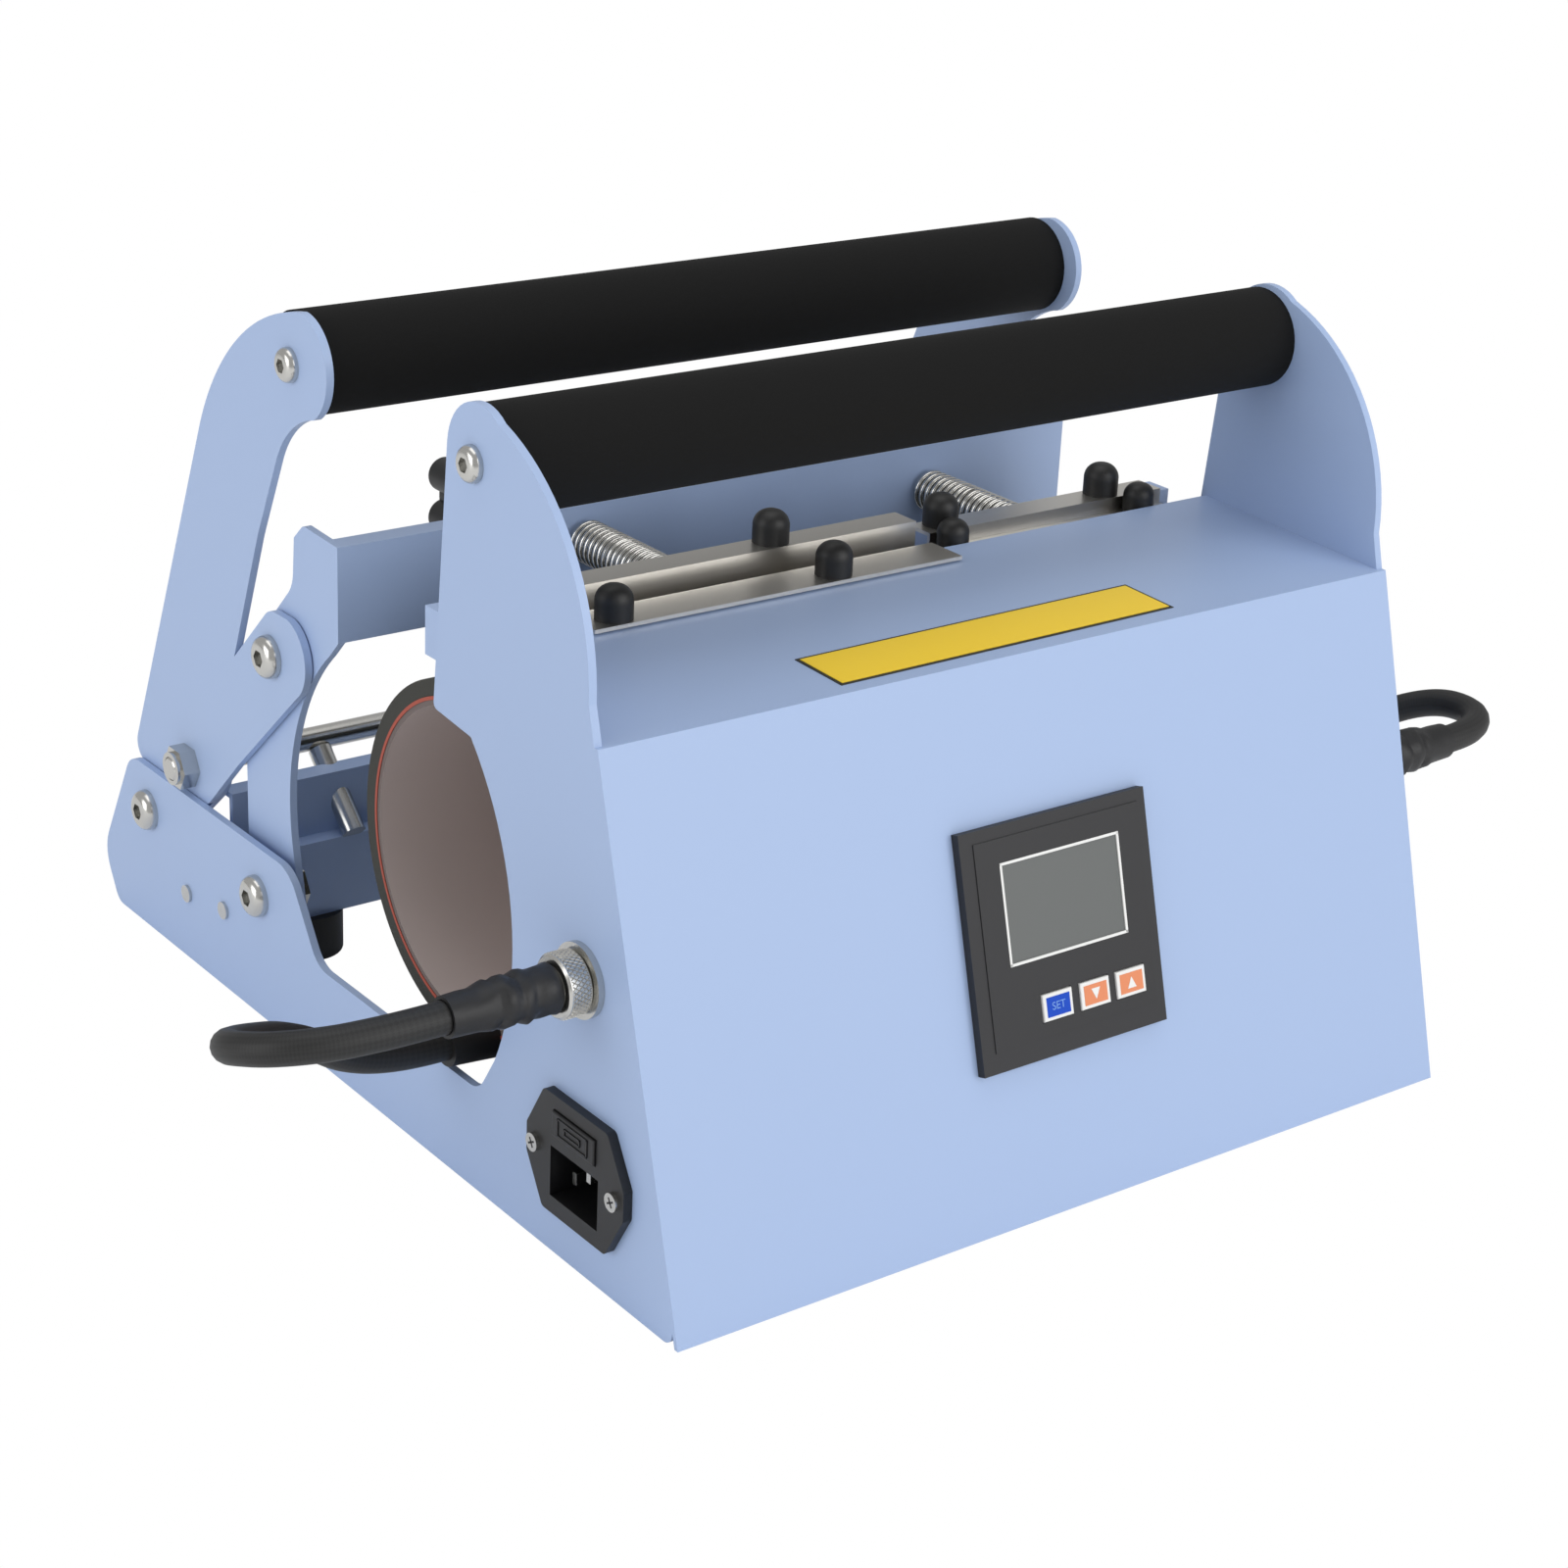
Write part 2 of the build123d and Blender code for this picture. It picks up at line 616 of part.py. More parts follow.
# Rear lips: a square bar behind each half band, capped by a folded steel strip.
with BuildPart() as rear_lip_bars:
    for (name, segment, drop), x, z in zip(segments, screw_x, screw_z):
        bar_top = rear_lip_z - drop - strip_thickness
        start = -rear_bar_half_length if name == "left" else segment[0]
        end = segment[1] if name == "left" else rear_bar_half_length
        with BuildSketch(Plane.YZ.offset(start)):
            with Locations((band_rear_y + lip_bar_depth / 2, bar_top - lip_bar_height / 2)):
                Rectangle(lip_bar_depth, lip_bar_height)
        extrude(amount=end - start)
write(rear_lip_bars.part, "rear_lip_bars")
with BuildPart() as rear_lip_strips:
    for name, segment, drop in segments:
        strip_top = rear_lip_z - drop
        with BuildSketch(Plane.YZ.offset(segment[0])):
            with Locations((band_rear_y + (lip_bar_depth - strip_thickness) / 2,
                            strip_top - strip_thickness / 2)):
                Rectangle(lip_bar_depth + strip_thickness, strip_thickness)
            with Locations((band_rear_y - strip_thickness / 2, (strip_top + strip_foot_z) / 2)):
                Rectangle(strip_thickness, strip_top - strip_foot_z)
        extrude(amount=segment[1] - segment[0])
write(rear_lip_strips.part, "rear_lip_strips")



def rubber_cap(x, y, z, radius):
    """Domed rubber cap standing on z."""
    with BuildPart() as cap:
        with BuildSketch(Plane.XY.offset(z)):
            with Locations((x, y)):
                Circle(radius)
        extrude(amount=cap_height)
        fillet(cap.faces().sort_by(Axis.Z)[-1].edges(), radius=0.85 * radius)
    return cap.part


# Rubber caps over the lip screws.
with BuildPart() as front_lip_caps:
    for x in front_cap_x[:2]:
        strip_top = shelf_rear_z + seat_clearance / 3 + strip_thickness
        add(rubber_cap(x, front_strip_front_y + cap_radius + 0.2, strip_top, cap_radius))
    for x in front_cap_x[2:]:
        strip_top = shelf_rear_z - short_lip_drop + strip_thickness
        add(rubber_cap(x, band_front_y + short_cap_inset, strip_top, small_cap_radius))
write(front_lip_caps.part, "front_lip_caps")
with BuildPart() as rear_lip_caps:
    for index, x in enumerate(rear_cap_x):
        drop = segments[index // 2][2]
        add(rubber_cap(x, band_rear_y + lip_bar_depth / 2, rear_lip_z - drop, cap_radius))
write(rear_lip_caps.part, "rear_lip_caps")

# Jaw panel: a channel welded between the jaw plates, drilled for the two lip screws.
with BuildPart() as jaw_panel:
    with BuildSketch(Plane.YZ):
        with BuildLine():
            panel_back_y = panel_front_y + panel_depth
            inner_y = panel_front_y + panel_thickness
            Polyline((panel_front_y, panel_bottom_z), (panel_front_y, panel_top_z), (panel_back_y, panel_top_z),
                     (panel_back_y, panel_top_z - panel_thickness), (inner_y, panel_top_z - panel_thickness),
                     (inner_y, panel_bottom_z + panel_thickness),
                     (panel_back_y, panel_bottom_z + panel_thickness),
                     (panel_back_y, panel_bottom_z), close=True)
        make_face()
    extrude(amount=jaw_inner, both=True)
    with BuildSketch(Plane.XZ.offset(-panel_front_y)):
        for x, z in zip(screw_x, screw_z):
            with Locations((x, z)):
                Circle(screw_radius + screw_clearance)
    extrude(amount=-panel_thickness, mode=Mode.SUBTRACT)
write(jaw_panel.part, "jaw_panel")

# Star knobs with their moulded-in screws, which bear on the rear faces of the lip bars.
bar_back_y = band_rear_y + lip_bar_depth
for (side, sign), x, z in zip(sides, screw_x, screw_z):
    with BuildPart() as knob:
        with BuildSketch(Plane.XZ.offset(-knob_y)):
            with Locations((x, z)):
                Circle(0.74 * knob_radius)
                with PolarLocations(0.74 * knob_radius, knob_lobes):
                    Circle(0.26 * knob_radius)
        extrude(amount=-knob_thickness)
        fillet(knob.faces().filter_by(Axis.Y).edges(), radius=1.5)
        with BuildSketch(Plane.XZ.offset(-bar_back_y - seat_clearance)):
            with Locations((x, z)):
                Circle(screw_radius)
        extrude(amount=-(knob_y - bar_back_y - seat_clearance + 1.0))
    write(knob.part, f"star_knob_{side}")


def coil_spring(x, z, y_start, y_end, turns):
    """Close coil round the screw: a helix made of quarter-turn arcs, with straight ends."""
    pitch = (y_end - y_start - spring_wire) / turns
    centre_start = y_start + spring_wire / 2
    steps = 4 * turns
    points = []
    for step in range(2 * steps + 1):
        angle = math.pi / 4 * step
        y = centre_start + pitch * step / 8
        points.append(Vector(x + spring_radius * math.cos(angle), y, z + spring_radius * math.sin(angle)))
    with BuildPart() as spring:
        with BuildLine() as coil:
            for index in range(steps):
                ThreePointArc(points[2 * index], points[2 * index + 1], points[2 * index + 2])
        rise = pitch / (2 * math.pi * spring_radius)
        start_direction = Vector(0.0, rise, 1.0).normalized()
        with BuildSketch(Plane(origin=points[0], z_dir=start_direction)):
            Circle(spring_wire / 2)
        sweep(path=coil.wire())
    gap = pitch - spring_wire
    print("spring", turns, "turns, least gap between turns", round(gap, 3), "mm")
    return spring.part


# Compression springs between the lip bars and the jaw panel.
with BuildPart() as lip_springs:
    for x, z, turns in zip(screw_x, screw_z, spring_turns):
        add(coil_spring(x, z, bar_back_y + 0.1, panel_front_y - 0.1, turns))
write(lip_springs.part, "lip_springs")

# Controller: bezel on the slope with its case behind the panel, a recessed window and three key wells.
with BuildPart() as controller_case:
    with BuildSketch(slope_plane):
        with Locations((0.0, controller_centre)):
            Rectangle(controller_width, controller_width)
    extrude(amount=bezel_height)
    with BuildSketch(slope_plane):
        with Locations((0.0, controller_centre)):
            Rectangle(controller_body_width, controller_body_width)
    extrude(amount=-controller_body_depth)
    window_y = -(controller_from_top + window_from_top + window_height / 2)
    key_y = -(controller_from_top + button_from_top)
    with BuildSketch(slope_plane.offset(bezel_height)):
        with Locations((window_centre_x, window_y)):
            Rectangle(window_width, window_height)
    extrude(amount=-window_depth, mode=Mode.SUBTRACT)
    well_depth = bezel_height - 0.6
    with BuildSketch(slope_plane.offset(bezel_height)):
        for x in button_x:
            with Locations((x, key_y)):
                Rectangle(button_width + 2 * button_clearance, button_height + 2 * button_clearance)
    extrude(amount=-well_depth, mode=Mode.SUBTRACT)
write(controller_case.part, "controller_case")
with BuildPart() as controller_window:
    with BuildSketch(slope_plane.offset(bezel_height - window_depth)):
        with Locations((window_centre_x, window_y)):
            Rectangle(window_width, window_height)
    extrude(amount=window_depth)
write(controller_window.part, "controller_window")
key_thickness = well_depth - button_travel - 0.1 + button_proud
for name, x in zip(button_names, button_x):
    with BuildPart() as key:
        with BuildSketch(slope_plane.offset(bezel_height + button_proud - key_thickness)):
            with Locations((x, key_y)):
                Rectangle(button_width, button_height)
        extrude(amount=key_thickness)
        fillet(key.faces().sort_by(Axis((0, 0, 0), slope_plane.z_dir))[-1].edges(), radius=0.4)
    write(key.part, name)

# Mains inlet: flange outside the left plate, body inside, socket mouth and drawer pocket.
inlet_y, inlet_z = inlet_centre
socket_z = inlet_z - socket_drop
drawer_z = inlet_z + drawer_rise
flange_x = -half_width - inlet_flange_thickness
with BuildPart() as inlet_housing:
    ear_y = inlet_flange_width / 2
    shoulder_y = ear_y - inlet_ear_slant
    shoulder_z = inlet_flange_height / 2
    with BuildSketch(Plane.YZ.offset(flange_x)) as flange:
        with Locations(inlet_centre):
            Polygon((ear_y, -inlet_ear_half_height), (ear_y, inlet_ear_half_height), (shoulder_y, shoulder_z),
                    (-shoulder_y, shoulder_z), (-ear_y, inlet_ear_half_height), (-ear_y, -inlet_ear_half_height),
                    (-shoulder_y, -shoulder_z), (shoulder_y, -shoulder_z), align=None)
        fillet(flange.vertices(), radius=2.0)
        with Locations((inlet_y - inlet_screw_spacing / 2, inlet_z),
                       (inlet_y + inlet_screw_spacing / 2, inlet_z)):
            Circle(inlet_screw_radius + running_clearance, mode=Mode.SUBTRACT)
    extrude(amount=inlet_flange_thickness)
    with BuildSketch(Plane.YZ.offset(-half_width)):
        with Locations(inlet_centre):
            Rectangle(inlet_body_width, inlet_body_height)
    extrude(amount=inlet_body_depth)
    with BuildSketch(Plane.YZ.offset(flange_x)):
        with Locations((inlet_y, socket_z)):
            Rectangle(socket_width, socket_height)
    extrude(amount=socket_depth, mode=Mode.SUBTRACT)
    with BuildSketch(Plane.YZ.offset(flange_x)):
        with Locations((inlet_y, drawer_z)):
            Rectangle(drawer_width + 2 * drawer_clearance, drawer_height + 2 * drawer_clearance)
    extrude(amount=drawer_depth + 2 * drawer_clearance, mode=Mode.SUBTRACT)
write(inlet_housing.part, "inlet_housing")
with BuildPart() as inlet_pins:
    floor_x = flange_x + socket_depth
    with BuildSketch(Plane.YZ.offset(floor_x)):
        with Locations((inlet_y - pin_pitch, socket_z - 2.0), (inlet_y + pin_pitch, socket_z - 2.0),
                       (inlet_y, socket_z + 2.0)):
            Rectangle(2 * pin_radius, 4 * pin_radius)
    extrude(amount=-pin_length)
write(inlet_pins.part, "inlet_pins")
with BuildPart() as inlet_screws:
    for y in (inlet_y - inlet_screw_spacing / 2, inlet_y + inlet_screw_spacing / 2):
        with BuildSketch(Plane.YZ.offset(flange_x)):
            with Locations((y, inlet_z)):
                Circle(inlet_screw_head_radius)
        extrude(amount=-1.4)
        with BuildSketch(Plane.YZ.offset(flange_x)):
            with Locations((y, inlet_z)):
                Circle(inlet_screw_radius)
        extrude(amount=10.0)
write(inlet_screws.part, "inlet_screws")
with BuildPart() as fuse_drawer:
    with BuildSketch(Plane.YZ.offset(flange_x + drawer_depth)):
        with Locations((inlet_y, drawer_z)):
            Rectangle(drawer_width, drawer_height)
    extrude(amount=-drawer_depth - 0.8)
    fillet(fuse_drawer.faces().sort_by(Axis.X)[0].edges(), radius=0.5)
write(fuse_drawer.part, "fuse_drawer")

# Heater connectors: panel socket, coupling ring, and the boot where the cable leaves.
with BuildPart() as panel_sockets:
    for side, sign in sides:
        add(rod_along_x(connector_point, connector_flange_radius, sign * half_width,
                        sign * (half_width + connector_flange_thickness)))
        add(rod_along_x(connector_point, connector_body_radius, sign * half_width,
                        sign * (plate_inner - connector_body_depth)))
        add(rod_along_x(connector_point, boot_waist_radius,
                        sign * half_width, sign * (half_width + boot_start)))
write(panel_sockets.part, "panel_sockets")
for side, sign in sides:
    ring_start = half_width + connector_flange_thickness + seat_clearance / 3
    with BuildPart() as ring:
        with BuildSketch(Plane.YZ.offset(sign * ring_start)):
            with Locations(connector_point):
                Circle(ring_radius)
                Circle(boot_waist_radius + running_clearance, mode=Mode.SUBTRACT)
        extrude(amount=sign * (ring_length - seat_clearance))
        chamfer(ring.edges().filter_by(GeomType.CIRCLE).group_by(SortBy.RADIUS)[-1], length=0.7)
    write(ring.part, f"coupling_ring_{side}")
    with BuildPart() as boot:
        boot_plane = Plane(origin=(sign * (half_width + boot_start), connector_point[0], connector_point[1]),
                           x_dir=(sign, 0, 0), z_dir=(0, 1, 0))
        with BuildSketch(boot_plane):
            with BuildLine():
                Line((0.0, 0.0), (0.0, boot_waist_radius))
                ThreePointArc((0.0, boot_waist_radius), (0.22 * boot_length, boot_radius),
                              (0.44 * boot_length, boot_waist_radius))
                ThreePointArc((0.44 * boot_length, boot_waist_radius), (0.6 * boot_length, 0.94 * boot_radius),
                              (0.76 * boot_length, boot_waist_radius))
                Line((0.76 * boot_length, boot_waist_radius), (boot_length, cord_diameter / 2 + 0.6))
                Line((boot_length, cord_diameter / 2 + 0.6), (boot_length, 0.0))
                Line((boot_length, 0.0), (0.0, 0.0))
            make_face()
        revolve(axis=Axis((0, connector_point[0], connector_point[1]), (1, 0, 0)))
    write(boot.part, f"plug_boot_{side}")

# Boots where the heater cables enter the ends of the band.
with BuildPart() as heater_boots:
    for side, sign in sides:
        with BuildSketch(Plane.YZ.offset(sign * heater_half_length)):
            with Locations(heater_boot_point):
                Circle(heater_boot_radius)
        extrude(amount=sign * heater_boot_length, taper=4.0)
write(heater_boots.part, "heater_boots")

# Heater cables: out of the connector, round in a loop and back into the end of the band.
cord_start_x = half_width + boot_start + boot_length
cord_end_x = heater_half_length + heater_boot_length
left_route = [(-cord_start_x, -125.0, 92.0), (-218.0, -125.0, 92.0), (-239.0, -117.0, 91.0),
              (-245.0, -98.0, 85.0), (-232.0, -79.0, 75.0), (-205.0, -62.0, 62.0),
              (-178.0, -56.0, 42.0), (-cord_end_x, -56.0, 42.0)]
right_route = [(cord_start_x, -125.0, 92.0), (209.0, -125.0, 92.0), (223.0, -115.0, 93.0), (222.0, -96.0, 92.0),
               (208.0, -79.0, 82.0), (193.0, -66.0, 63.0), (176.0, -56.0, 42.0), (cord_end_x, -56.0, 42.0)]


def corner_radius(before, here, after):
    """Largest tangent arc for a corner: 0.45 of the shorter run over the tangent of half the turn."""
    first = Vector(*here) - Vector(*before)
    second = Vector(*after) - Vector(*here)
    turn = math.radians(first.get_angle(second))
    return 0.45 * min(first.length, second.length) / math.tan(turn / 2)


for side, route in [("left", left_route), ("right", right_route)]:
    radii = [corner_radius(*route[index:index + 3]) for index in range(len(route) - 2)]
    print("cord", side, "radii", [round(radius, 1) for radius in radii])
    with BuildPart() as cord:
        with BuildLine() as path:
            FilletPolyline(*route, radius=radii)
        start_direction = Vector(*route[1]) - Vector(*route[0])
        with BuildSketch(Plane(origin=route[0], z_dir=start_direction)):
            Circle(cord_diameter / 2)
        sweep(path=path.wire())
    expected = math.pi * cord_diameter ** 2 / 4 * path.wire().length
    print("cord", side, "length", round(path.wire().length, 1), "volume ratio", round(cord.part.volume / expected, 4))
    write(cord.part, f"heater_cord_{side}")

# Solid-state relay on the floor of the control box.
with BuildPart() as heater_relay:
    with BuildSketch(Plane.XY.offset(base_pan_z + cover_thickness)):
        with Locations((relay_x, relay_y)):
            Rectangle(relay_length, relay_width)
    extrude(amount=relay_height)
    fillet(heater_relay.edges().filter_by(Axis.Z), radius=2.0)
write(heater_relay.part, "heater_relay")
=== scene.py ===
import math

import bmesh
import bpy
from mathutils import Matrix, Vector


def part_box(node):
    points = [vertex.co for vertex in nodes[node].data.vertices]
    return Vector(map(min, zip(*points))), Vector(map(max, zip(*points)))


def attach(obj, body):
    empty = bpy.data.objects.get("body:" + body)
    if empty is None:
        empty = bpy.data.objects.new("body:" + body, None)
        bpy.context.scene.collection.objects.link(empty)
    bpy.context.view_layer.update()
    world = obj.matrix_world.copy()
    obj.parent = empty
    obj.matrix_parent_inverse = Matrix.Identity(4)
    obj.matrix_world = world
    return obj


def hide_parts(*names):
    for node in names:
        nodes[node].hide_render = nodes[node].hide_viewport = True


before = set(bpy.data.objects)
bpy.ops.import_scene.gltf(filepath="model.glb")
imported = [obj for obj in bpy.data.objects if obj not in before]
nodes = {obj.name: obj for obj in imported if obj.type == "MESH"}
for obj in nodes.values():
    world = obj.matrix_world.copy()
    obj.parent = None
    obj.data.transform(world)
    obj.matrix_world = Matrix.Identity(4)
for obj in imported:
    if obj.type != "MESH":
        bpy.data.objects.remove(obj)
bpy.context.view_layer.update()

# Side plates, cover, base pan, cross member, levers, links and jaw plates.
# Mild steel sheet, cut and bent, then powder coated in one light blue.
# The coat is satin with a faint orange peel, which softens what it reflects.


def colour(code):
    """sRGB hex to the linear RGBA that a shader socket takes."""
    parts = [int(code[i:i + 2], 16) / 255 for i in (1, 3, 5)]
    return [c / 12.92 if c <= 0.04045 else ((c + 0.055) / 1.055) ** 2.4 for c in parts] + [1.0]


def fill(tree, node, inputs):
    """Sets a node's inputs: another node's output is linked, and anything else is a plain value."""
    for name, value in inputs.items():
        if isinstance(value, bpy.types.NodeSocket):
            tree.links.new(value, node.inputs[name])
        else:
            node.inputs[name].default_value = value
    return node


def add(tree, kind, inputs=None, **settings):
    """Adds a node of one kind to a tree, with its settings and inputs."""
    node = tree.nodes.new(kind)
    for name, value in settings.items():
        setattr(node, name, value)
    return fill(tree, node, inputs or {})


def finish_of(name, code, roughness, metallic=0.0, relief=0.0, grain=1.0, depth=0.03, stretch=(1, 1, 1)):
    """One colour and, where relief is set, a fine surface grain: grain and depth are millimetres."""
    mat = bpy.data.materials.new(name)
    mat.use_nodes = True
    tree = mat.node_tree
    shader = fill(tree, tree.nodes["Principled BSDF"], {
        "Base Color": colour(code), "Roughness": roughness, "Metallic": metallic,
        "Specular IOR Level": 0.3 if roughness > 0.8 else 0.5})
    if relief:
        where = add(tree, "ShaderNodeTexCoord")
        mapping = add(tree, "ShaderNodeMapping", {"Vector": where.outputs["Object"], "Scale": stretch})
        noise = add(tree, "ShaderNodeTexNoise", {
            "Vector": mapping.outputs["Vector"], "Scale": 1000 / grain, "Detail": 3.0})
        bump = add(tree, "ShaderNodeBump", {
            "Height": noise.outputs["Fac"], "Strength": relief, "Distance": depth / 1000})
        fill(tree, shader, {"Normal": bump.outputs["Normal"]})
    return mat


def paint(mat, *names):
    """Gives CAD nodes one finish."""
    for name in names:
        nodes[name].data.materials.clear()
        nodes[name].data.materials.append(mat)


powder_coat = finish_of("powder_coat_blue", "#A3B8DC", 0.42, relief=0.25, grain=0.714, depth=0.02)
paint(powder_coat, "side_plate_left", "side_plate_right", "front_cover", "base_pan", "rear_cross_member",
      "lever_left", "lever_right", "jaw_plate_left", "jaw_plate_right", "link_left", "link_right",
      "jaw_panel", "rear_lip_bars")

# Pivot bolts, nuts, spacers, rivets, stop studs, tie rod, grip tubes and springs.
# Zinc-plated steel, turned, drawn or cold headed, and screwed or riveted through the plates.
# The plating is bright, with a slight unevenness that blurs the highlights a little.
zinc = finish_of("bright_zinc", "#C9C8C4", 0.22, 1.0, relief=0.15, grain=2.0)
paint(zinc, "stop_studs", "cross_member_rivets", "frame_pivot_bolts", "pivot_spacers", "frame_pivot_nuts",
      "lever_pivot_bolts", "lever_pivot_nuts", "tie_rod", "tie_rod_nuts", "front_grip_tube",
      "front_grip_bolts", "rear_grip_tube", "rear_grip_bolts", "lip_springs")

# Grip sleeves.
# Closed-cell foam tube, pushed over each steel grip tube.
# It is the dullest black on the press: a fine open skin gives almost no highlight.
foam = finish_of("black_foam", "#0E0E0E", 0.95, relief=0.6, grain=0.667, depth=0.1)
paint(foam, "front_grip_foam", "rear_grip_foam")

# Lip strips along both edges of the band's mouth.
# Brushed stainless strip, held down by screws under rubber caps.
# The grain runs along the lips and blurs what they reflect into soft streaks.
strip = finish_of("brushed_strip", "#D6D3CD", 0.34, 1.0, relief=0.3, grain=6.25, stretch=(0.05, 6, 6))
paint(strip, "front_lips", "rear_lip_strips")

# Star knobs of the two lip screws.
# Nylon, moulded on a zinc-plated screw that leaves the hub at its front.
# The black is satin, with a fine mould grain.
hub_front = 0.0659
moulded = finish_of("black_plastic", "#151517", 0.42, relief=0.2, grain=0.833)
for side in ("left", "right"):
    paint(moulded, f"star_knob_{side}")
    mesh = nodes[f"star_knob_{side}"].data
    mesh.materials.append(zinc)
    for polygon in mesh.polygons:
        polygon.material_index = 1 if polygon.center.y < hub_front else 0

# Feet, screw caps and the boots where the cables enter the band.
# Black rubber, moulded and pushed on, with a soft sheen.
rubber = finish_of("black_rubber", "#151515", 0.5, relief=0.2, grain=1.43)
paint(rubber, "rubber_feet", "front_lip_caps", "rear_lip_caps", "heater_boots")

# Heated band in two segments, each split into a front and a rear half.
# A dark silicone sheath outside, cured against fabric that leaves a fine grain, and a smooth
# warm grey silicone liner inside. Its cut ends get a darker copy of the liner colour as painted shade.
band_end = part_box("heater_front_liners")[1].x
cut_depth = 0.0002
sheath = finish_of("grey_silicone", "#34342F", 0.75, relief=0.5, grain=0.909, depth=0.1)
paint(sheath, "heater_left_front", "heater_left_rear", "heater_right_front", "heater_right_rear")
liner = finish_of("liner_silicone", "#C4B7B3", 0.5, relief=0.15, grain=2.5)
paint(liner, "heater_front_liners", "heater_rear_liners")
# Painted shade: the liner's end faces take a darker copy of its colour.
liner_end_shade = finish_of("liner_end_painted_shade", "#6B5F5C", 0.7)
for half in ("front", "rear"):
    mesh = nodes[f"heater_{half}_liners"].data
    mesh.materials.append(liner_end_shade)
    for polygon in mesh.polygons:
        at_end = abs(polygon.center.x) > band_end - cut_depth and abs(polygon.normal.x) > 0.9
        polygon.material_index = 1 if at_end else 0

# Red bond line between sheath and liner, on the open ends of the band.
# Cured adhesive, seen as one flat arc on each end of each half.
bore_y, bore_z = -0.042, 0.090
bond_inner, bond_outer = 0.0506, 0.0517
bond_proud = 0.0002
bond_steps = 60
bond_halves = [("front", "frame", 97.5, 264.5), ("rear", "jaw", -84.5, 83.5)]


def hang(name, data, body):
    """An object for a finished mesh or curve, which rides on a CAD body."""
    obj = bpy.data.objects.new(name, data)
    bpy.context.scene.collection.objects.link(obj)
    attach(obj, body)
    return obj


def outward(mesh, smooth=False):
    """Turns the faces of a mesh outwards and sets its shading."""
    work = bmesh.new()
    work.from_mesh(mesh)
    bmesh.ops.recalc_face_normals(work, faces=work.faces)
    work.to_mesh(mesh)
    work.free()
    mesh.polygons.foreach_set("use_smooth", [smooth] * len(mesh.polygons))


def piece(name, shape, mat, body, smooth=False):
    """A piece made of vertices and faces, with one finish."""
    verts, faces = shape
    mesh = bpy.data.meshes.new(name)
    mesh.from_pydata([tuple(v) for v in verts], [], faces)
    outward(mesh, smooth)
    mesh.materials.append(mat)
    return hang(name, mesh, body)


def flat_arc(x, proud, first, last):
    """Vertices and faces of a thin arc round the bore, from one angle in degrees to another."""
    verts, faces = [], []
    for i in range(bond_steps + 1):
        a = math.radians(first + (last - first) * i / bond_steps)
        for r in (bond_inner, bond_outer):
            for dx in (0.0, proud):
                verts.append((x + dx, bore_y + r * math.cos(a), bore_z + r * math.sin(a)))
    for b in range(0, 4 * bond_steps, 4):
        faces += [[b, b + 1, b + 5, b + 4], [b + 2, b + 6, b + 7, b + 3], [b, b + 4, b + 6, b + 2],
                  [b + 1, b + 3, b + 7, b + 5]]
    end = 4 * bond_steps
    faces += [[0, 2, 3, 1], [end, end + 1, end + 3, end + 2]]
    return verts, faces


red = finish_of("red_bond_line", "#A34836", 0.6)
for half, body, first, last in bond_halves:
    for side, sign in [("left", -1), ("right", 1)]:
        arc = flat_arc(sign * (band_end + bond_proud / 2), sign * bond_proud, first, last)
        piece(f"bond_line_{half}_{side}", arc, red, body)

# Controller on the sloping front: its bezel and the slightly glossier plate inside it.
# Moulded ABS, set through the cover. The plate is laid in strips round the window and the keys,
# so that the recesses of the case stay open.
shelf_y, shelf_z = -0.1296, 0.161
cover_low, cover_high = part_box("front_cover")
bezel_width = 72.0
bezel_below_shelf = 47.0
bezel_height = 3.0
plate_left, plate_right = 5.0, 68.8
plate_rows = [(3.8, 11.2, []), (11.2, 41.9, [(14.0, 59.8)]), (41.9, 52.5, []),
              (52.5, 61.4, [(23.5, 35.5), (38.4, 50.2), (52.7, 64.5)]), (61.4, 66.0, [])]
plate_thickness = 0.0003
slope = math.atan2(shelf_y - cover_low.y, shelf_z)
out = Vector((0, -math.cos(slope), math.sin(slope)))
up = Vector((0, math.sin(slope), math.cos(slope)))
panel = Matrix(((1, 0, 0, 0), (0, up.y, out.y, shelf_y), (0, up.z, out.z, shelf_z), (0, 0, 0, 1)))


def rectangle(width, height):
    """Corners of a rectangle round the origin."""
    w, h = width / 2, height / 2
    return [(-w, -h), (w, -h), (w, h), (-w, h)]


def slab(outline, place, thickness):
    """Vertices and faces of a thin prism: a 2-D outline set on a plane by the matrix place."""
    n = len(outline)
    verts = [place @ Vector((x, y, z)) for z in (0, thickness) for x, y in outline]
    faces = [list(range(n))[::-1], list(range(n, 2 * n))]
    faces += [[i, (i + 1) % n, n + (i + 1) % n, n + i] for i in range(n)]
    return verts, faces


def on_panel(u, v, lift):
    """A place on the controller, in millimetres right of and below the bezel's top left corner."""
    return panel @ Matrix.Translation(Vector((u - bezel_width / 2, -(bezel_below_shelf + v), lift)) / 1000)


bezel = finish_of("bezel_plastic", "#222225", 0.55, relief=0.2, grain=0.833)
paint(bezel, "controller_case")
plate_finish = finish_of("controller_face", "#1D1D20", 0.5)
strips = []
for top, bottom, openings in plate_rows:
    edges = [plate_left] + [edge for opening in openings for edge in opening] + [plate_right]
    strips += [(left, right, top, bottom) for left, right in zip(edges[::2], edges[1::2])]
for i, (left, right, top, bottom) in enumerate(strips):
    outline = rectangle((right - left) / 1000, (bottom - top) / 1000)
    place = on_panel((left + right) / 2, (top + bottom) / 2, bezel_height)
    piece(f"face_strip_{i}", slab(outline, place, plate_thickness), plate_finish, "frame")

